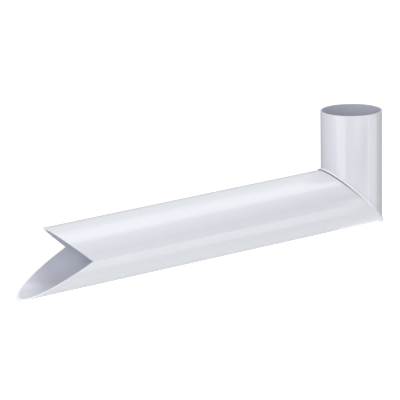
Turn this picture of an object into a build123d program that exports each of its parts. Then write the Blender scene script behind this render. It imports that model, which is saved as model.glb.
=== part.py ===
from build123d import *

import os
from math import cos, radians, sin

# Roof drain spout. A short upright inlet takes the water from the roof outlet above it.
# A long spout carries it clear of the wall and lets it fall from a V-cut end.
# Both are round pipes, mitred and bonded where their axes cross, and the spout is a size larger.
# The origin is the centre of the inlet's mouth. +Z points up along the inlet's axis,
# and the spout runs out towards +X. The part is the same on both sides of the XZ plane.
# All lengths are in millimetres and all angles in degrees.

# pipe stock, with how far the spout's outside stands out past the inlet's
INLET_OUTER_DIAMETER = 80.0
SPOUT_STEP = 1.0
PIPE_WALL = 2.0

# elbow
INLET_HEIGHT = 114.0
SPOUT_FALL = 3.0

# lip round the spout's mitred end, on which the inlet is seated. It stands out most
# in the crook on top of the spout and dies away at the heel underneath.
LIP_CROOK_REACH = 2.8
LIP_SIDE_REACH = 2.0
LIP_HEEL_REACH = 1.2
LIP_THICKNESS = 2.2
LIP_EDGE_ROUND = 0.9

# V cut at the outlet, with each distance taken along the spout's axis from the elbow
THROAT_REACH = 396.0
TOP_TIP_REACH = 438.0
BOTTOM_TIP_REACH = 484.0

# easing of the inlet's mouth, inside and out
MOUTH_EDGE_ROUND = 0.5

inlet_radius = INLET_OUTER_DIAMETER / 2
spout_radius = inlet_radius + SPOUT_STEP

# the two axes cross here, and the mitre plane halves the angle between them
elbow_point = Vector(0, 0, -INLET_HEIGHT)
inlet_direction = Vector(0, 0, 1)
spout_direction = Vector(cos(radians(SPOUT_FALL)), 0, -sin(radians(SPOUT_FALL)))
mitre_normal = (inlet_direction - spout_direction).normalized()
across = Vector(0, 1, 0)
up_the_mitre = across.cross(mitre_normal)
mitre_plane = Plane(origin=elbow_point, x_dir=across, z_dir=mitre_normal)
spout_plane = Plane(origin=elbow_point, x_dir=across, z_dir=spout_direction)
inlet_plane = Plane(origin=elbow_point, x_dir=across, z_dir=inlet_direction)

# half the length of the spout's outline where the mitre plane slices it
mitre_tilt = cos(radians(mitre_normal.get_angle(inlet_direction)))
mitre_half_length = spout_radius / mitre_tilt

# enough pipe past the elbow for the mitre to cut all of it
mitre_allowance = 2 * mitre_half_length


def pipe_length(plane, outer_radius, start, end):
    """A plain length of pipe along the plane's normal, between two distances from the elbow."""
    ring = Circle(outer_radius) - Circle(outer_radius - PIPE_WALL)
    return extrude(plane.offset(start) * ring, amount=end - start)


def make_inlet_pipe():
    """The upright pipe: a square-cut mouth with eased edges, and a mitred lower end."""
    pipe = pipe_length(inlet_plane, inlet_radius, -mitre_allowance, INLET_HEIGHT)
    pipe = split(pipe, bisect_by=mitre_plane, keep=Keep.TOP)
    mouth_edges = pipe.faces().sort_by(Axis.Z)[-1].edges()
    return fillet(mouth_edges, MOUTH_EDGE_ROUND)


def make_lip():
    """The lip: an oval plate on the spout's side of the mitre, bored as wide as the inlet."""
    half_length = mitre_half_length + (LIP_CROOK_REACH + LIP_HEEL_REACH) / 2
    towards_crook = up_the_mitre * (LIP_CROOK_REACH - LIP_HEEL_REACH) / 2
    outline = mitre_plane * Ellipse(spout_radius + LIP_SIDE_REACH, half_length)
    plate = extrude(outline.translate(towards_crook), amount=-LIP_THICKNESS)
    plate = fillet(plate.edges(), LIP_EDGE_ROUND)
    bore = Cylinder(inlet_radius - PIPE_WALL, 2 * mitre_allowance)
    return plate - spout_plane * bore


def make_outlet_cutter():
    """The waste past the V: its top and bottom lines meet at the throat, level with the axis."""
    side = Plane(origin=elbow_point, x_dir=spout_direction, z_dir=-across)
    # both lines run on past the pipe's wall, to twice its radius
    past_wall = 2 * spout_radius
    top_end = 2 * TOP_TIP_REACH - THROAT_REACH
    bottom_end = 2 * BOTTOM_TIP_REACH - THROAT_REACH
    outline = Polyline(
        (THROAT_REACH, 0),
        (top_end, past_wall),
        (bottom_end, past_wall),
        (bottom_end, -past_wall),
        close=True,
    )
    return extrude(side * make_face(outline), amount=past_wall, both=True)


def make_spout_pipe():
    """The long pipe: a mitred upper end with its lip, and the V-cut outlet."""
    pipe = pipe_length(spout_plane, spout_radius, -mitre_allowance, BOTTOM_TIP_REACH)
    pipe = split(pipe, bisect_by=mitre_plane, keep=Keep.BOTTOM)
    return pipe + make_lip() - make_outlet_cutter()


parts = {
    "inlet_pipe": make_inlet_pipe(),
    "spout_pipe": make_spout_pipe(),
}

os.makedirs("parts", exist_ok=True)
for name, part in parts.items():
    export_step(part, f"parts/{name}.step")
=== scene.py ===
"""Looks of a roof drain spout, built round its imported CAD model.

Lengths are in metres in the CAD model's own frame. The origin is the centre of the inlet's
mouth, +Z runs up the inlet's axis, and the spout runs out towards +X.
"""

import logging
import math
from dataclasses import dataclass, field
from enum import Enum
from typing import Any

import bmesh
import bpy
from mathutils import Matrix, Vector

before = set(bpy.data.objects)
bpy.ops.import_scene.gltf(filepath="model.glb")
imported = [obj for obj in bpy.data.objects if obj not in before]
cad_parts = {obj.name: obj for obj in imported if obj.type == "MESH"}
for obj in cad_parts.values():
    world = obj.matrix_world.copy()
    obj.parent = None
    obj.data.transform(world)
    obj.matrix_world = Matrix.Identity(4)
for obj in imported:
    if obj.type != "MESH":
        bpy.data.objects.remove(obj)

LOG = logging.getLogger("roof_drain_spout")
MM = 0.001


class MitreSide(Enum):
    """Which side of the elbow's mitre a pipe is on."""

    LIPPED = "carries the lip"
    SEATED = "is seated on the lip"


def linear_colour(srgb_hex: str) -> tuple[float, float, float, float]:
    """Turns an sRGB hex colour into Blender's linear colour.

    Args:
        srgb_hex: Six hex digits, with or without a leading hash.

    Returns:
        Red, green, blue and alpha, with alpha at 1.
    """
    digits = srgb_hex.lstrip("#")
    channels = [int(digits[i : i + 2], 16) / 255 for i in (0, 2, 4)]
    red, green, blue = [
        c / 12.92 if c <= 0.04045 else ((c + 0.055) / 1.055) ** 2.4 for c in channels
    ]
    return red, green, blue, 1.0


def add_node(
    tree: bpy.types.NodeTree,
    kind: str,
    settings: dict[str, Any] | None = None,
    values: dict[str | int, Any] | None = None,
    links: dict[str | int, bpy.types.NodeSocket] | None = None,
) -> bpy.types.Node:
    """Adds one shader node with its settings, its input values and its links.

    Args:
        tree: The node tree to add to.
        kind: Blender's name for the node's type.
        settings: The node's own properties and what to set them to.
        values: Input sockets, by name or number, and their constant values.
        links: Input sockets, by name or number, and the outputs that feed them.

    Returns:
        The new node.
    """
    node = tree.nodes.new(kind)
    for name, setting in (settings or {}).items():
        setattr(node, name, setting)
    for socket, value in (values or {}).items():
        node.inputs[socket].default_value = value
    for socket, source in (links or {}).items():
        tree.links.new(source, node.inputs[socket])
    return node


def new_material(name: str) -> tuple[bpy.types.Material, bpy.types.NodeTree]:
    """Makes a node material with nothing in it but its output.

    Args:
        name: The material's name.

    Returns:
        The material and its node tree.
    """
    material = bpy.data.materials.new(name)
    material.use_nodes = True
    tree = material.node_tree
    tree.nodes.clear()
    return material, tree


def looked_at(tree: bpy.types.NodeTree) -> bpy.types.NodeSocket:
    """Tells rays that see a surface or the sky from rays that it only lights.

    Args:
        tree: The node tree to add to.

    Returns:
        One for the camera's rays and those of reflections and glass, and nothing for others.
    """
    path = add_node(tree, "ShaderNodeLightPath").outputs
    seen = path["Is Camera Ray"]
    for kind in ("Is Glossy Ray", "Is Transmission Ray"):
        either = add_node(
            tree, "ShaderNodeMath", {"operation": "MAXIMUM"}, links={0: seen, 1: path[kind]}
        )
        seen = either.outputs["Value"]
    return seen


@dataclass(frozen=True)
class SpoutGeometry:
    """The sizes that the CAD model was built to, for patterns that have to follow it."""

    inlet_radius: float = 40.0 * MM
    spout_radius: float = 41.0 * MM
    wall: float = 2.0 * MM
    inlet_height: float = 114.0 * MM
    fall: float = math.radians(3.0)
    throat_reach: float = 396.0 * MM
    top_tip_reach: float = 438.0 * MM
    bottom_tip_reach: float = 484.0 * MM
    lip_thickness: float = 2.2 * MM

    @property
    def elbow(self) -> Vector:
        """Where the two pipes' axes cross."""
        return Vector((0.0, 0.0, -self.inlet_height))

    @property
    def spout_direction(self) -> Vector:
        """The way the spout's axis runs, away from the elbow."""
        return Vector((math.cos(self.fall), 0.0, -math.sin(self.fall)))

    @property
    def spout_up(self) -> Vector:
        """Square to the spout's axis, towards its top."""
        return Vector((math.sin(self.fall), 0.0, math.cos(self.fall)))

    @property
    def mitre_normal(self) -> Vector:
        """Square to the mitre's plane, towards the inlet."""
        return (Vector((0.0, 0.0, 1.0)) - self.spout_direction).normalized()

    @property
    def mitre_rise(self) -> Vector:
        """Up the mitre's plane, from the heel of the elbow to its crook."""
        return (Vector((0.0, 0.0, 1.0)) + self.spout_direction).normalized()

    @property
    def mitre_half_length(self) -> float:
        """How far the spout's skin reaches up the mitre's plane from the axis."""
        return self.spout_radius / self.mitre_normal.z

    def cut_normals(self) -> list[Vector]:
        """The outward normals of the V cut's two faces.

        Returns:
            The upper face's normal and the lower one's.
        """
        upper_run = self.top_tip_reach - self.throat_reach
        lower_run = self.bottom_tip_reach - self.throat_reach
        upper = self.spout_direction * self.spout_radius - self.spout_up * upper_run
        lower = self.spout_direction * self.spout_radius + self.spout_up * lower_run
        return [upper.normalized(), lower.normalized()]


@dataclass(frozen=True)
class ExtrudedPipePvc:
    """Rigid PVC pipe, extruded and sized in a vacuum die, in a pale blue-grey.

    It gives the eye an even, clean colour under a satin gloss. Faint lines run along the pipe
    from the die, and the wall is never quite true, so reflections waver a little. At the elbow
    the solvent cement has left a rippled lip, painted pale towards the crook and grey towards
    the heel as painted light and shade. A dark line of painted shadow runs under the lip, and
    above it the inlet's foot has a strip of painted light with a line of painted shade. The
    bore's colours are painted light and shade, and the sawn faces are dull.

    The shares of the mitre run from 1 at its crook, through 0 at the axis, to -1 at its heel.
    """

    name: str = "rigid_pvc_extruded"
    skin_hex: str = "#D9DBE0"
    skin_shade_hex: str = "#D6D9DE"
    # The bore's colours, a bluer one and a darker band, are painted light and shade inside the
    # pipe.
    bore_painted_shading_hex: str = "#E1E3ED"
    bore_shade_band_hex: str = "#CBCDD7"
    sawn_hex: str = "#F0F1F2"
    # The lip's two colours: painted shade, greyer towards the heel, and painted light, paler
    # towards the crook.
    lip_painted_shade_hex: str = "#C8CBD1"
    lip_painted_light_hex: str = "#F9FAFC"
    # Painted shadow: the dark line under the lip's overhang.
    under_lip_shadow_hex: str = "#8A8D96"
    # Painted light on the inlet's foot above the lip, and a painted shade line along its edge.
    foot_painted_light_hex: str = "#EEEFF1"
    foot_painted_shade_hex: str = "#C4C7CD"
    ior: float = 1.53
    roughness: float = 0.13
    sawn_roughness: float = 0.62
    die_line_spacing: float = 1.6 * MM
    die_line_depth: float = 0.0015 * MM
    die_line_run: float = 260.0 * MM
    wall_wave_length: float = 70.0 * MM
    wall_wave_depth: float = 0.03 * MM
    mottle_size: float = 34.0 * MM
    scuff_size: float = 3.2 * MM
    scuff_noise_range: tuple[float, float] = (0.35, 0.75)
    scuff_roughness_change: tuple[float, float] = (-0.01, 0.04)
    saw_mark_spacing: float = 0.9 * MM
    saw_mark_depth: float = 0.04 * MM
    sawn_facing: float = 0.999
    lip_ripple_spacing: float = 2.6 * MM
    lip_ripple_depth: float = 0.10 * MM
    lip_edge_margin: float = 0.1 * MM
    lip_skin_margin: float = 0.05 * MM
    # Where the lip's painted light is full and where it is gone, along the mitre.
    lip_light_full_share: float = 0.6
    lip_light_gone_share: float = -0.6
    # The painted shadow under the lip: its width, its soft edge, and where it is full and gone
    # along the mitre.
    under_lip_shadow_width: float = 1.0 * MM
    under_lip_shadow_softness: float = 1.2 * MM
    under_lip_shadow_full_share: float = 0.8
    under_lip_shadow_gone_share: float = -0.12
    # The painted light on the inlet's foot, and the painted shade line along its edge.
    foot_light_height: float = 1.3 * MM
    foot_shade_width: float = 1.4 * MM
    foot_shade_full_share: float = 0.45
    foot_shade_gone_share: float = 0.75
    # Where the bore's darker band of painted shade, and its painted shading, fade in and out
    # along the spout.
    bore_shade_band_start: float = 385.0 * MM
    bore_shade_band_full: float = 425.0 * MM
    bore_fade_start: float = 440.0 * MM
    bore_fade_end: float = 464.0 * MM

    def build(
        self,
        label: str,
        axis: Vector,
        sizes: SpoutGeometry,
        radius: float,
        sawn_normals: list[Vector],
        side: MitreSide,
    ) -> bpy.types.Material:
        """Makes this finish for one length of pipe.

        Args:
            label: The pipe's own name, added to the material's.
            axis: The way the pipe runs, which its die lines follow.
            sizes: The spout's sizes, for the places of the elbow and the mitre.
            radius: The pipe's outside radius.
            sawn_normals: The outward normals of its sawn faces.
            side: Which side of the mitre the pipe is on.

        Returns:
            The material.
        """
        material, tree = new_material(f"{self.name}_{label}")
        along = self._pipe_coordinates(tree, axis, sizes.elbow)
        sawn = self._sawn_mask(tree, sawn_normals)
        square = self._square_radius(tree, along)
        bore = self._math(tree, "LESS_THAN", square, (radius - sizes.wall / 2) ** 2)
        reach = add_node(tree, "ShaderNodeSeparateXYZ", links={"Vector": along}).outputs["Z"]
        # Painted light and shade in the bore: the bore colour, then a darker painted band
        # nearer the outlet, both fading into the skin's colour towards the outlet.
        deep = self._fade(tree, reach, self.bore_fade_start, self.bore_fade_end)
        tint = self._math(tree, "MULTIPLY", bore, deep)
        bore_shade_band = self._fade(tree, reach, self.bore_shade_band_full, self.bore_shade_band_start)
        colour = self._mix_colour(tree, tint, self._skin_colour(tree, along), self.bore_painted_shading_hex)
        bore_shade_band = self._math(tree, "MULTIPLY", tint, bore_shade_band)
        colour = self._mix_colour(tree, bore_shade_band, colour, self.bore_shade_band_hex)
        roughness = self._skin_roughness(tree, along)
        height = self._skin_height(tree, along)
        below = self._below_mitre(tree, sizes)
        if side is MitreSide.LIPPED:
            lip = self._lip_mask(tree, square, below, sizes)
            # The lip gets painted shade all over, grey, with painted light laid over it
            # towards the crook.
            lip_painted_light = self._towards_crook(
                tree, sizes, self.lip_light_full_share, self.lip_light_gone_share
            )
            lip_painted_light = self._math(tree, "MULTIPLY", lip, lip_painted_light)
            # Painted shadow under the lip's overhang, fading towards the heel.
            under_lip_shadow = self._under_lip_shadow_mask(tree, bore, below, sizes)
            colour = self._mix_colour(tree, lip, colour, self.lip_painted_shade_hex)
            colour = self._mix_colour(tree, lip_painted_light, colour, self.lip_painted_light_hex)
            colour = self._mix_colour(tree, under_lip_shadow, colour, self.under_lip_shadow_hex)
            height = self._lip_height(tree, along, lip, height)
        else:
            # Painted light on the inlet's foot just above the lip, with a painted shade line
            # along its edge.
            foot_light, edge = self._foot_light_and_shade_masks(tree, bore, below, sizes)
            colour = self._mix_colour(tree, edge, colour, self.foot_painted_shade_hex)
            colour = self._mix_colour(tree, foot_light, colour, self.foot_painted_light_hex)
        colour = self._mix_colour(tree, sawn, colour, self.sawn_hex)
        roughness = add_node(
            tree,
            "ShaderNodeMix",
            {"data_type": "FLOAT"},
            {"B": self.sawn_roughness},
            {"Factor": sawn, "A": roughness},
        ).outputs["Result"]
        height = self._sawn_height(tree, along, sawn, height)
        bump = add_node(
            tree,
            "ShaderNodeBump",
            None,
            {"Strength": 1.0, "Distance": 1.0},
            {"Height": height},
        )
        shader = add_node(
            tree,
            "ShaderNodeBsdfPrincipled",
            None,
            {"IOR": self.ior, "Metallic": 0.0},
            {"Base Color": colour, "Roughness": roughness, "Normal": bump.outputs["Normal"]},
        )
        add_node(
            tree, "ShaderNodeOutputMaterial", links={"Surface": shader.outputs["BSDF"]}
        )
        return material

    @staticmethod
    def _pipe_coordinates(
        tree: bpy.types.NodeTree, axis: Vector, start: Vector
    ) -> bpy.types.NodeSocket:
        """Turns the frame's coordinates so that the local Z runs along the pipe.

        Args:
            tree: The material's node tree.
            axis: The way the pipe runs.
            start: The point that becomes the local origin.

        Returns:
            The turned coordinates, in metres.
        """
        turn = axis.to_track_quat("Z", "Y").inverted().to_matrix()
        place = add_node(tree, "ShaderNodeTexCoord").outputs["Object"]
        return add_node(
            tree,
            "ShaderNodeMapping",
            {"vector_type": "POINT"},
            {"Location": -(turn @ start), "Rotation": turn.to_euler()},
            {"Vector": place},
        ).outputs["Vector"]

    @staticmethod
    def _math(
        tree: bpy.types.NodeTree,
        operation: str,
        first: bpy.types.NodeSocket,
        second: bpy.types.NodeSocket | float = 0.0,
    ) -> bpy.types.NodeSocket:
        """Works out one number from one or two others.

        Args:
            tree: The material's node tree.
            operation: Blender's name for the sum.
            first: The first number.
            second: The second number, which some operations leave unused.

        Returns:
            The result.
        """
        linked = isinstance(second, bpy.types.NodeSocket)
        values = {} if linked else {1: second}
        links = {0: first, 1: second} if linked else {0: first}
        return add_node(
            tree, "ShaderNodeMath", {"operation": operation}, values, links
        ).outputs["Value"]

    @staticmethod
    def _mix_colour(
        tree: bpy.types.NodeTree,
        mask: bpy.types.NodeSocket,
        under: bpy.types.NodeSocket,
        over_hex: str,
    ) -> bpy.types.NodeSocket:
        """Lays one colour over another where a mask says.

        Args:
            tree: The material's node tree.
            mask: Where the upper colour shows, from 0 to 1.
            under: The lower colour.
            over_hex: The upper colour.

        Returns:
            The mixed colour.
        """
        return add_node(
            tree,
            "ShaderNodeMix",
            {"data_type": "RGBA"},
            {"B": linear_colour(over_hex)},
            {"Factor": mask, "A": under},
        ).outputs["Result"]

    def _stretched_noise(
        self,
        tree: bpy.types.NodeTree,
        along: bpy.types.NodeSocket,
        across_size: float,
        run: float,
        detail: float,
    ) -> bpy.types.NodeSocket:
        """Noise of one size across the pipe and another along it.

        Args:
            tree: The material's node tree.
            along: The pipe's own coordinates.
            across_size: The size of a feature across the pipe.
            run: The size of a feature along the pipe.
            detail: How many finer layers of noise there are.

        Returns:
            A number around a half.
        """
        stretched = add_node(
            tree,
            "ShaderNodeMapping",
            {"vector_type": "POINT"},
            {"Scale": (1 / across_size, 1 / across_size, 1 / run)},
            {"Vector": along},
        ).outputs["Vector"]
        return add_node(
            tree,
            "ShaderNodeTexNoise",
            None,
            {"Scale": 1.0, "Detail": detail, "Roughness": 0.5},
            {"Vector": stretched},
        ).outputs["Fac"]

    def _skin_colour(
        self, tree: bpy.types.NodeTree, along: bpy.types.NodeSocket
    ) -> bpy.types.NodeSocket:
        """The skin's colour, with the soft clouding that extruded pipe has.

        Args:
            tree: The material's node tree.
            along: The pipe's own coordinates.

        Returns:
            The colour.
        """
        mottle = self._stretched_noise(
            tree, along, self.mottle_size, 3 * self.mottle_size, 2.0
        )
        return add_node(
            tree,
            "ShaderNodeMix",
            {"data_type": "RGBA"},
            {"A": linear_colour(self.skin_shade_hex), "B": linear_colour(self.skin_hex)},
            {"Factor": mottle},
        ).outputs["Result"]

    def _skin_roughness(
        self, tree: bpy.types.NodeTree, along: bpy.types.NodeSocket
    ) -> bpy.types.NodeSocket:
        """The skin's roughness, a little higher in small patches that handling has dulled.

        Args:
            tree: The material's node tree.
            along: The pipe's own coordinates.

        Returns:
            The roughness.
        """
        scuffs = self._stretched_noise(tree, along, self.scuff_size, self.scuff_size * 2, 3.0)
        return add_node(
            tree,
            "ShaderNodeMapRange",
            None,
            {
                "From Min": self.scuff_noise_range[0],
                "From Max": self.scuff_noise_range[1],
                "To Min": self.roughness + self.scuff_roughness_change[0],
                "To Max": self.roughness + self.scuff_roughness_change[1],
            },
            {"Value": scuffs},
        ).outputs["Result"]

    def _skin_height(
        self, tree: bpy.types.NodeTree, along: bpy.types.NodeSocket
    ) -> bpy.types.NodeSocket:
        """The skin's height: die lines along the pipe, over long waves in its wall.

        Args:
            tree: The material's node tree.
            along: The pipe's own coordinates.

        Returns:
            The height, in metres.
        """
        lines = self._stretched_noise(
            tree, along, self.die_line_spacing, self.die_line_run, 2.0
        )
        waves = self._stretched_noise(
            tree, along, self.wall_wave_length, 4 * self.wall_wave_length, 0.0
        )
        line_height = self._math(tree, "MULTIPLY", lines, self.die_line_depth)
        wave_height = self._math(tree, "MULTIPLY", waves, self.wall_wave_depth)
        return self._math(tree, "ADD", line_height, wave_height)

    def _sawn_mask(
        self, tree: bpy.types.NodeTree, normals: list[Vector]
    ) -> bpy.types.NodeSocket:
        """Finds the sawn faces, which are flat and face ways that no other face does.

        Args:
            tree: The material's node tree.
            normals: The sawn faces' outward normals.

        Returns:
            One on a sawn face and nothing elsewhere.
        """
        facing = add_node(tree, "ShaderNodeNewGeometry").outputs["True Normal"]
        mask: bpy.types.NodeSocket | None = None
        for normal in normals:
            match = add_node(
                tree,
                "ShaderNodeVectorMath",
                {"operation": "DOT_PRODUCT"},
                {1: normal},
                {0: facing},
            ).outputs["Value"]
            near = self._math(tree, "GREATER_THAN", match, self.sawn_facing)
            mask = near if mask is None else self._math(tree, "MAXIMUM", mask, near)
        return mask

    def _sawn_height(
        self,
        tree: bpy.types.NodeTree,
        along: bpy.types.NodeSocket,
        mask: bpy.types.NodeSocket,
        height: bpy.types.NodeSocket,
    ) -> bpy.types.NodeSocket:
        """Adds the fine furrows that a saw leaves across a cut face.

        Args:
            tree: The material's node tree.
            along: The pipe's own coordinates.
            mask: One on the sawn faces.
            height: The height to add them to.

        Returns:
            The new height, in metres.
        """
        marks = self._stretched_noise(
            tree, along, self.saw_mark_spacing, self.saw_mark_spacing, 2.0
        )
        furrows = self._math(tree, "MULTIPLY", marks, self.saw_mark_depth)
        return self._math(
            tree, "ADD", height, self._math(tree, "MULTIPLY", furrows, mask)
        )

    def _square_radius(
        self, tree: bpy.types.NodeTree, along: bpy.types.NodeSocket
    ) -> bpy.types.NodeSocket:
        """The square of the distance from the pipe's axis.

        Args:
            tree: The material's node tree.
            along: The pipe's own coordinates.

        Returns:
            The square, in square metres.
        """
        parts = add_node(tree, "ShaderNodeSeparateXYZ", links={"Vector": along}).outputs
        square_x = self._math(tree, "POWER", parts["X"], 2.0)
        square_y = self._math(tree, "POWER", parts["Y"], 2.0)
        return self._math(tree, "ADD", square_x, square_y)

    @staticmethod
    def _dot(tree: bpy.types.NodeTree, way: Vector) -> bpy.types.NodeSocket:
        """How far a place lies along a direction, from the frame's origin.

        Args:
            tree: The material's node tree.
            way: The direction, one metre long.

        Returns:
            The distance, in metres.
        """
        place = add_node(tree, "ShaderNodeTexCoord").outputs["Object"]
        return add_node(
            tree,
            "ShaderNodeVectorMath",
            {"operation": "DOT_PRODUCT"},
            {1: way},
            {0: place},
        ).outputs["Value"]

    @staticmethod
    def _fade(
        tree: bpy.types.NodeTree, value: bpy.types.NodeSocket, full: float, none: float
    ) -> bpy.types.NodeSocket:
        """Fades evenly from one to nothing.

        Args:
            tree: The material's node tree.
            value: The number that the fade follows.
            full: Where it is one.
            none: Where it is nothing.

        Returns:
            A number from 0 to 1.
        """
        return add_node(
            tree,
            "ShaderNodeMapRange",
            {"clamp": True},
            {"From Min": none, "From Max": full, "To Min": 0.0, "To Max": 1.0},
            {"Value": value},
        ).outputs["Result"]

    def _below_mitre(
        self, tree: bpy.types.NodeTree, sizes: SpoutGeometry
    ) -> bpy.types.NodeSocket:
        """How far a place lies below the mitre's plane, square to it.

        Args:
            tree: The material's node tree.
            sizes: The spout's sizes.

        Returns:
            The distance, in metres.
        """
        rise = self._dot(tree, -sizes.mitre_normal)
        level = sizes.elbow.dot(-sizes.mitre_normal)
        return self._math(tree, "SUBTRACT", rise, level)

    def _lip_mask(
        self,
        tree: bpy.types.NodeTree,
        square: bpy.types.NodeSocket,
        below: bpy.types.NodeSocket,
        sizes: SpoutGeometry,
    ) -> bpy.types.NodeSocket:
        """Finds the lip: close below the mitre's plane and outside the pipe's own radius.

        Args:
            tree: The material's node tree.
            square: The square of the distance from the pipe's axis.
            below: The distance below the mitre's plane.
            sizes: The spout's sizes.

        Returns:
            One on the lip and nothing elsewhere.
        """
        edge = sizes.lip_thickness + self.lip_edge_margin
        near = self._math(tree, "LESS_THAN", below, edge)
        skin = (sizes.spout_radius + self.lip_skin_margin) ** 2
        outside = self._math(tree, "GREATER_THAN", square, skin)
        return self._math(tree, "MULTIPLY", near, outside)

    def _towards_crook(
        self, tree: bpy.types.NodeTree, sizes: SpoutGeometry, full: float, none: float
    ) -> bpy.types.NodeSocket:
        """Fades along the mitre, from its crook to its heel.

        Args:
            tree: The material's node tree.
            sizes: The spout's sizes.
            full: Where it is one, as a share of the way from the middle to the crook.
            none: Where it is nothing, as such a share.

        Returns:
            A number from 0 to 1.
        """
        rise = self._dot(tree, sizes.mitre_rise)
        middle = sizes.elbow.dot(sizes.mitre_rise)
        reach = sizes.mitre_half_length
        return self._fade(tree, rise, middle + full * reach, middle + none * reach)

    def _under_lip_shadow_mask(
        self,
        tree: bpy.types.NodeTree,
        bore: bpy.types.NodeSocket,
        below: bpy.types.NodeSocket,
        sizes: SpoutGeometry,
    ) -> bpy.types.NodeSocket:
        """Finds the painted shadow: a dark line under the lip, where it overhangs.

        Args:
            tree: The material's node tree.
            bore: One inside the pipe.
            below: The distance below the mitre's plane.
            sizes: The spout's sizes.

        Returns:
            One in the line, nothing elsewhere, and less towards the elbow's heel.
        """
        start = sizes.lip_thickness - self.under_lip_shadow_width / 2
        end = sizes.lip_thickness + self.under_lip_shadow_width / 2
        upper = self._fade(tree, below, start, start - self.under_lip_shadow_softness / 2)
        lower = self._fade(tree, below, end, end + self.under_lip_shadow_softness)
        line = self._math(tree, "MULTIPLY", upper, lower)
        outside = self._math(tree, "LESS_THAN", bore, 0.5)
        line = self._math(tree, "MULTIPLY", line, outside)
        overhang = self._towards_crook(
            tree, sizes, self.under_lip_shadow_full_share, self.under_lip_shadow_gone_share
        )
        return self._math(tree, "MULTIPLY", line, overhang)

    def _foot_light_and_shade_masks(
        self,
        tree: bpy.types.NodeTree,
        bore: bpy.types.NodeSocket,
        below: bpy.types.NodeSocket,
        sizes: SpoutGeometry,
    ) -> tuple[bpy.types.NodeSocket, bpy.types.NodeSocket]:
        """Finds the painted light on the inlet's foot above the lip, and a painted shade line
        at its edge.

        Args:
            tree: The material's node tree.
            bore: One inside the pipe.
            below: The distance below the mitre's plane.
            sizes: The spout's sizes.

        Returns:
            One in the painted light, and up to one in the painted shade line, where it is
            clear of the crook.
        """
        outside = self._math(tree, "LESS_THAN", bore, 0.5)
        top = -self.foot_light_height
        half = self.foot_shade_width / 2
        foot_light = self._fade(tree, below, top, top - half)
        lower = self._fade(tree, below, top - half, top)
        upper = self._fade(tree, below, top - half, top - 2 * half)
        edge = self._math(tree, "MULTIPLY", lower, upper)
        clear = self._towards_crook(
            tree, sizes, self.foot_shade_full_share, self.foot_shade_gone_share
        )
        edge = self._math(tree, "MULTIPLY", edge, clear)
        foot_light = self._math(tree, "MULTIPLY", foot_light, outside)
        return foot_light, self._math(tree, "MULTIPLY", edge, outside)

    def _lip_height(
        self,
        tree: bpy.types.NodeTree,
        along: bpy.types.NodeSocket,
        mask: bpy.types.NodeSocket,
        height: bpy.types.NodeSocket,
    ) -> bpy.types.NodeSocket:
        """Adds the small ripples of plastic that solvent cement has softened.

        Args:
            tree: The material's node tree.
            along: The pipe's own coordinates.
            mask: One on the lip.
            height: The height to add them to.

        Returns:
            The new height, in metres.
        """
        ripples = self._stretched_noise(
            tree, along, self.lip_ripple_spacing, self.lip_ripple_spacing, 1.0
        )
        swell = self._math(tree, "MULTIPLY", ripples, self.lip_ripple_depth)
        return self._math(
            tree, "ADD", height, self._math(tree, "MULTIPLY", swell, mask)
        )


@dataclass(frozen=True)
class PaintedFloor:
    """A studio floor under matt white paint, rolled on.

    It gives the eye an even white with no gloss, and takes the object's soft shadow. A little
    glow, for the camera and for reflections alone, lifts it to the white of the background.
    """

    name: str = "white_floor_paint_rolled"
    colour_hex: str = "#F6F6F6"
    roughness: float = 0.9
    stipple_size: float = 2.0 * MM
    stipple_depth: float = 0.05 * MM
    stipple_strength: float = 0.2
    glow: float = 0.5

    def build(self) -> bpy.types.Material:
        """Makes the floor's material.

        Returns:
            The material.
        """
        material, tree = new_material(self.name)
        place = add_node(tree, "ShaderNodeTexCoord").outputs["Object"]
        stipple = add_node(
            tree,
            "ShaderNodeTexNoise",
            None,
            {"Scale": 1 / self.stipple_size, "Detail": 2.0},
            {"Vector": place},
        ).outputs["Fac"]
        bump = add_node(
            tree,
            "ShaderNodeBump",
            None,
            {"Strength": self.stipple_strength, "Distance": self.stipple_depth},
            {"Height": stipple},
        )
        shader = add_node(
            tree,
            "ShaderNodeBsdfPrincipled",
            None,
            {"Base Color": linear_colour(self.colour_hex), "Roughness": self.roughness},
            {"Normal": bump.outputs["Normal"]},
        )
        lift = add_node(
            tree,
            "ShaderNodeMath",
            {"operation": "MULTIPLY"},
            {1: self.glow},
            {0: looked_at(tree)},
        )
        glow = add_node(tree, "ShaderNodeEmission", links={"Strength": lift.outputs["Value"]})
        both = add_node(
            tree,
            "ShaderNodeAddShader",
            links={0: shader.outputs["BSDF"], 1: glow.outputs["Emission"]},
        )
        add_node(
            tree, "ShaderNodeOutputMaterial", links={"Surface": both.outputs["Shader"]}
        )
        return material


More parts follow.
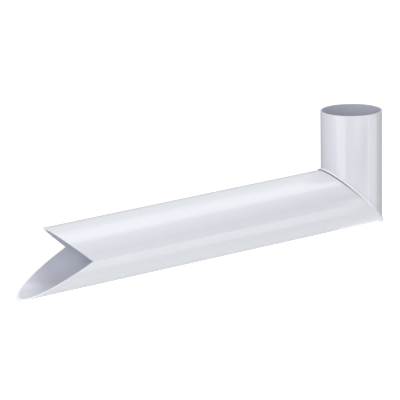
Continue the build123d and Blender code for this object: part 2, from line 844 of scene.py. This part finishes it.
@dataclass(frozen=True)
class LitPaper:
    """White paper that lamps light from behind, brighter in some places than in others.

    It gives a pale glossy pipe soft bands of light to reflect. The grades are pairs of an
    angle round the sheet's axis, in degrees, and the radiance there, where 1 is white.
    """

    name: str
    grades: tuple[tuple[float, float], ...]

    @property
    def start_angle(self) -> float:
        """Where the sheet starts."""
        return self.grades[0][0]

    @property
    def end_angle(self) -> float:
        """Where the sheet ends."""
        return self.grades[-1][0]

    def build(self) -> bpy.types.Material:
        """Makes the sheet's material.

        Returns:
            The material.
        """
        material, tree = new_material(self.name)
        sweep = self.end_angle - self.start_angle
        peak = max(radiance for _, radiance in self.grades)
        across = add_node(tree, "ShaderNodeUVMap", {"uv_map": "across"})
        place = add_node(tree, "ShaderNodeSeparateXYZ", links={"Vector": across.outputs["UV"]})
        ramp = add_node(tree, "ShaderNodeValToRGB", links={"Fac": place.outputs["X"]})
        stops = ramp.color_ramp.elements
        while len(stops) < len(self.grades):
            stops.new(1.0)
        for stop, (angle, radiance) in zip(stops, self.grades):
            stop.position = (angle - self.start_angle) / sweep
            stop.color = (radiance / peak,) * 3 + (1.0,)
        paper = add_node(
            tree,
            "ShaderNodeEmission",
            None,
            {"Strength": peak},
            {"Color": ramp.outputs["Color"]},
        )
        add_node(
            tree, "ShaderNodeOutputMaterial", links={"Surface": paper.outputs["Emission"]}
        )
        return material


@dataclass
class InletPipe:
    """The short upright pipe, whose mouth is sawn square, with painted shade on its rim and
    bore.
    """

    geometry: SpoutGeometry
    # The darker bore and sawn-face colours here are painted shade.
    finish: ExtrudedPipePvc = ExtrudedPipePvc(bore_painted_shading_hex="#C4C6D1", sawn_hex="#9A9DA6")
    node: str = "inlet_pipe"
    slot: str = "pipe"

    def dress(self) -> bpy.types.Object:
        """Gives the CAD node its finish.

        Returns:
            The node's object.
        """
        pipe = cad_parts[self.node]
        upwards = Vector((0.0, 0.0, 1.0))
        sizes = self.geometry
        material = self.finish.build(
            "inlet", upwards, sizes, sizes.inlet_radius, [upwards], MitreSide.SEATED
        )
        wear_material(pipe, material)
        LOG.info("%s: %s, die lines along the axis", self.node, material.name)
        return pipe


@dataclass
class SpoutPipe:
    """The long pipe, with a lip round its mitred end and a V cut at its outlet."""

    geometry: SpoutGeometry
    finish: ExtrudedPipePvc = ExtrudedPipePvc()
    node: str = "spout_pipe"
    slot: str = "pipe"

    def dress(self) -> bpy.types.Object:
        """Gives the CAD node its finish.

        Returns:
            The node's object.
        """
        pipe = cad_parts[self.node]
        sizes = self.geometry
        material = self.finish.build(
            "spout",
            sizes.spout_direction,
            sizes,
            sizes.spout_radius,
            sizes.cut_normals(),
            MitreSide.LIPPED,
        )
        wear_material(pipe, material)
        LOG.info("%s: %s, with sawn V faces and a rippled lip", self.node, material.name)
        return pipe


def wear_material(piece: bpy.types.Object, material: bpy.types.Material) -> None:
    """Puts one material in every slot of a piece.

    Args:
        piece: The object to dress.
        material: The material that it gets.
    """
    if not piece.material_slots:
        piece.data.materials.append(material)
    for slot in piece.material_slots:
        slot.material = material


@dataclass
class PaperCove:
    """A sheet of paper bent round an axis, as in a light tent.

    Only reflections see it, so it shapes the gloss and not the light. The angles run from
    the zero direction towards the quarter direction, in degrees.
    """

    name: str
    centre: Vector
    axis: Vector
    zero: Vector
    quarter: Vector
    radius: float
    length: float
    finish: LitPaper
    columns: int = 96

    def build(self) -> bpy.types.Object:
        """Makes the sheet.

        Returns:
            The sheet's object.
        """
        mesh = bpy.data.meshes.new(self.name)
        form = bmesh.new()
        across = form.loops.layers.uv.new("across")
        shares = [step / self.columns for step in range(self.columns + 1)]
        edges = []
        for share in shares:
            start, end = self.finish.start_angle, self.finish.end_angle
            turn = math.radians(start + share * (end - start))
            spoke = self.zero * math.cos(turn) + self.quarter * math.sin(turn)
            foot = self.centre + spoke * self.radius
            half = self.axis * (self.length / 2)
            edges.append((form.verts.new(foot - half), form.verts.new(foot + half)))
        for step in range(self.columns):
            (low, high), (next_low, next_high) = edges[step], edges[step + 1]
            face = form.faces.new((low, next_low, next_high, high))
            for loop, side in zip(face.loops, (0, 1, 1, 0)):
                loop[across].uv = (shares[step + side], 0.0)
        form.to_mesh(mesh)
        form.free()
        cove = bpy.data.objects.new(self.name, mesh)
        bpy.context.scene.collection.objects.link(cove)
        cove.data.materials.append(self.finish.build())
        cove.visible_camera = False
        cove.visible_diffuse = False
        cove.visible_shadow = False
        cove.visible_transmission = False
        LOG.info("%s: %.1f m out, %.2f m long", self.name, self.radius, self.length)
        return cove


@dataclass
class StudioFloor:
    """A wide pale floor, well below the spout, which hangs from its inlet."""

    finish: PaintedFloor
    drop: float = 0.75
    half_size: float = 12.0
    divisions: int = 24

    def build(self) -> bpy.types.Object:
        """Makes the floor.

        Returns:
            The floor's object.
        """
        mesh = bpy.data.meshes.new("studio_floor")
        form = bmesh.new()
        bmesh.ops.create_grid(
            form,
            x_segments=self.divisions,
            y_segments=self.divisions,
            size=self.half_size,
            matrix=Matrix.Translation((0.0, 0.0, -self.drop)),
        )
        form.to_mesh(mesh)
        form.free()
        floor = bpy.data.objects.new("studio_floor", mesh)
        bpy.context.scene.collection.objects.link(floor)
        floor.data.materials.append(self.finish.build())
        LOG.info("studio_floor: %.1f m below the mouth", self.drop)
        return floor


@dataclass
class Softbox:
    """A rectangular area lamp that looks at the object. Neither camera nor gloss sees it."""

    name: str
    position: Vector
    target: Vector
    width: float
    height: float
    radiance: float
    colour_hex: str = "#FFFFFF"

    def build(self) -> bpy.types.Object:
        """Makes the lamp, with the power that gives its face the wanted radiance.

        Returns:
            The lamp's object.
        """
        lamp = bpy.data.lights.new(self.name, "AREA")
        lamp.shape = "RECTANGLE"
        lamp.size = self.width
        lamp.size_y = self.height
        lamp.energy = math.pi * self.width * self.height * self.radiance
        lamp.color = linear_colour(self.colour_hex)[:3]
        holder = bpy.data.objects.new(self.name, lamp)
        bpy.context.scene.collection.objects.link(holder)
        beam = self.target - self.position
        holder.location = self.position
        holder.rotation_mode = "QUATERNION"
        holder.rotation_quaternion = beam.to_track_quat("-Z", "Y")
        holder.visible_camera = False
        holder.visible_glossy = False
        LOG.info("%s: radiance %.2f", self.name, self.radiance)
        return holder


@dataclass
class StudioWorld:
    """The even light of a pale studio, with a white background behind the object."""

    light_hex: str = "#FCFDFF"
    strength: float = 0.65
    background_hex: str = "#FFFFFF"

    def build(self) -> bpy.types.World:
        """Makes the world. The camera, reflections and glass see plain white.

        Returns:
            The world.
        """
        world = bpy.data.worlds.new("studio_world")
        world.use_nodes = True
        tree = world.node_tree
        tree.nodes.clear()
        light = add_node(
            tree,
            "ShaderNodeBackground",
            None,
            {"Color": linear_colour(self.light_hex), "Strength": self.strength},
        )
        white = add_node(
            tree,
            "ShaderNodeBackground",
            None,
            {"Color": linear_colour(self.background_hex), "Strength": 1.0},
        )
        mix = add_node(
            tree,
            "ShaderNodeMixShader",
            None,
            None,
            {
                0: looked_at(tree),
                1: light.outputs["Background"],
                2: white.outputs["Background"],
            },
        )
        add_node(tree, "ShaderNodeOutputWorld", links={"Surface": mix.outputs["Shader"]})
        bpy.context.scene.world = world
        LOG.info("studio_world: light at %.2f", self.strength)
        return world


@dataclass
class ProductCamera:
    """A long lens on a stand, placed by where the elbow falls in a square frame."""

    image_size: float = 400.0
    focal_length_px: float = 2130.05
    azimuth: float = math.radians(151.857)
    elevation: float = math.radians(14.147)
    roll: float = math.radians(-1.2235)
    distance: float = 2.79358
    elbow_px: tuple[float, float] = (351.534, 195.036)
    sensor_width: float = 36.0
    clip_start: float = 0.05
    clip_end: float = 60.0

    def build(self, elbow: Vector) -> bpy.types.Object:
        """Makes the camera and makes it the scene's own.

        Args:
            elbow: The point that falls on elbow_px.

        Returns:
            The camera's object.
        """
        back = Vector(
            (
                math.sin(self.azimuth) * math.cos(self.elevation),
                -math.cos(self.azimuth) * math.cos(self.elevation),
                math.sin(self.elevation),
            )
        )
        level = Vector((math.cos(self.azimuth), math.sin(self.azimuth), 0.0))
        upright = back.cross(level)
        right = level * math.cos(self.roll) + upright * math.sin(self.roll)
        up = upright * math.cos(self.roll) - level * math.sin(self.roll)
        middle = self.image_size / 2
        per_px = self.distance / self.focal_length_px
        aside = (self.elbow_px[0] - middle) * per_px
        above = (middle - self.elbow_px[1]) * per_px
        place = elbow - right * aside - up * above + back * self.distance
        data = bpy.data.cameras.new("product_camera")
        data.sensor_width = self.sensor_width
        data.lens = self.focal_length_px / self.image_size * self.sensor_width
        data.clip_start = self.clip_start
        data.clip_end = self.clip_end
        camera = bpy.data.objects.new("product_camera", data)
        bpy.context.scene.collection.objects.link(camera)
        turn = Matrix((right, up, back)).transposed().to_4x4()
        camera.matrix_world = Matrix.Translation(place) @ turn
        bpy.context.scene.camera = camera
        LOG.info("product_camera: %.0f mm lens, %.2f m away", data.lens, self.distance)
        return camera


@dataclass
class Studio:
    """The floor, lamps, paper and camera round the object."""

    geometry: SpoutGeometry
    floor: StudioFloor = field(default_factory=lambda: StudioFloor(PaintedFloor()))
    world: StudioWorld = field(default_factory=StudioWorld)
    camera: ProductCamera = field(default_factory=ProductCamera)
    overhead_radiance: float = 1.4
    front_radiance: float = 2.13
    left_radiance: float = 1.6
    right_radiance: float = 0.26
    low_radiance: float = 0.09
    over_setback: float = 0.55
    low_setback: float = 0.01
    inlet_cove_level: float = -0.36
    over_paper: LitPaper = LitPaper(
        "paper_over_the_spout",
        (
            (0.0, 0.02),
            (14.0, 0.05),
            (26.0, 0.28),
            (40.0, 0.5),
            (55.0, 0.65),
            (60.0, 1.1),
            (66.0, 2.85),
            (80.0, 2.55),
            (92.0, 2.45),
            (101.0, 2.15),
            (110.0, 1.45),
            (120.0, 1.0),
            (134.0, 0.85),
            (148.0, 0.95),
            (165.0, 0.65),
            (196.0, 0.5),
        ),
    )
    low_paper: LitPaper = LitPaper(
        "paper_low_at_the_side",
        (
            (-150.0, 0.6),
            (-130.0, 0.85),
            (-110.0, 1.05),
            (-84.0, 1.45),
            (-52.0, 1.3),
            (-47.0, 2.7),
            (-30.0, 2.2),
            (-18.0, 3.1),
            (-11.0, 0.5),
            (-4.0, 0.0),
        ),
    )
    inlet_paper: LitPaper = LitPaper(
        "paper_round_the_inlet",
        (
            (-180.0, 0.2),
            (-125.0, 0.35),
            (-95.0, 0.4),
            (-72.0, 0.85),
            (-62.0, 3.05),
            (-45.0, 2.2),
            (-30.0, 2.4),
            (-20.0, 0.15),
            (-7.0, 0.6),
            (4.0, 0.75),
            (14.0, 2.15),
            (27.0, 1.65),
            (39.0, 1.5),
            (51.0, 1.65),
            (58.0, 2.3),
            (66.0, 2.6),
            (72.0, 1.8),
            (79.0, 1.5),
            (88.0, 2.15),
            (104.0, 0.85),
            (113.0, 0.0),
            (125.0, 0.2),
            (180.0, 0.5),
        ),
    )

    def round_the_inlet(self, right: float, above: float, distance: float) -> Vector:
        """Finds a place round the inlet, by where it lies from the camera's own side.

        Args:
            right: How far round to the camera's right it is, in degrees.
            above: How far above the level it is, in degrees.
            distance: How far away it is.

        Returns:
            The place.
        """
        turn = self.camera.azimuth + math.radians(right)
        rise = math.radians(above)
        level = Vector((math.sin(turn), -math.cos(turn), 0.0)) * math.cos(rise)
        middle = Vector((0.0, 0.0, -self.geometry.inlet_height / 2))
        return middle + (level + Vector((0.0, 0.0, math.sin(rise)))) * distance

    def softboxes(self) -> list[Softbox]:
        """The lamps.

        Returns:
            One overhead, one at the camera, one at each side of it, and a weak one low down.
        """
        middle = Vector((0.2, 0.0, -0.12))
        overhead = Vector((-0.1, 0.1, 1.4))
        front = self.round_the_inlet(right=-9.0, above=12.0, distance=2.25)
        left = self.round_the_inlet(right=-48.0, above=17.0, distance=1.9)
        right = self.round_the_inlet(right=75.0, above=10.0, distance=1.9)
        low = Vector((0.2, 0.38, -0.64))
        return [
            Softbox("overhead_softbox", overhead, middle, 1.4, 1.4, self.overhead_radiance),
            Softbox("front_softbox", front, middle, 1.2, 1.2, self.front_radiance),
            Softbox("left_softbox", left, middle, 1.0, 1.2, self.left_radiance),
            Softbox("right_softbox", right, middle, 1.0, 1.0, self.right_radiance),
            Softbox("low_softbox", low, middle, 1.2, 0.4, self.low_radiance),
        ]

    def coves(self) -> list[PaperCove]:
        """The paper that the gloss shows.

        Returns:
            A cove over the spout, a low one at the camera's side, and one round the inlet.
        """
        sizes = self.geometry
        run, rise, aside = sizes.spout_direction, sizes.spout_up, Vector((0.0, 1.0, 0.0))
        view = self.camera.azimuth
        to_camera = Vector((math.sin(view), -math.cos(view), 0.0))
        to_right = Vector((math.cos(view), math.sin(view), 0.0))
        upwards = Vector((0.0, 0.0, 1.0))
        over = sizes.elbow - run * self.over_setback
        low = sizes.elbow - run * self.low_setback
        round_inlet = Vector((0.0, 0.0, self.inlet_cove_level))
        return [
            PaperCove(
                "spout_cove",
                over,
                run,
                aside,
                rise,
                radius=1.6,
                length=1.6,
                finish=self.over_paper,
            ),
            PaperCove(
                "low_cove",
                low,
                run,
                aside,
                rise,
                radius=0.58,
                length=0.56,
                finish=self.low_paper,
            ),
            PaperCove(
                "inlet_cove",
                round_inlet,
                upwards,
                to_camera,
                to_right,
                radius=1.25,
                length=0.5,
                finish=self.inlet_paper,
            ),
        ]

    def build(self) -> None:
        """Builds the whole studio."""
        bpy.context.scene.view_settings.view_transform = "Standard"
        self.floor.build()
        self.world.build()
        for lamp in self.softboxes():
            lamp.build()
        for cove in self.coves():
            cove.build()
        self.camera.build(self.geometry.elbow)


def main() -> None:
    """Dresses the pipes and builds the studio."""
    logging.basicConfig(level=logging.INFO, format="%(name)s: %(message)s")
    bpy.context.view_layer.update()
    geometry = SpoutGeometry()
    InletPipe(geometry).dress()
    SpoutPipe(geometry).dress()
    Studio(geometry).build()


if __name__ == "__main__":
    main()
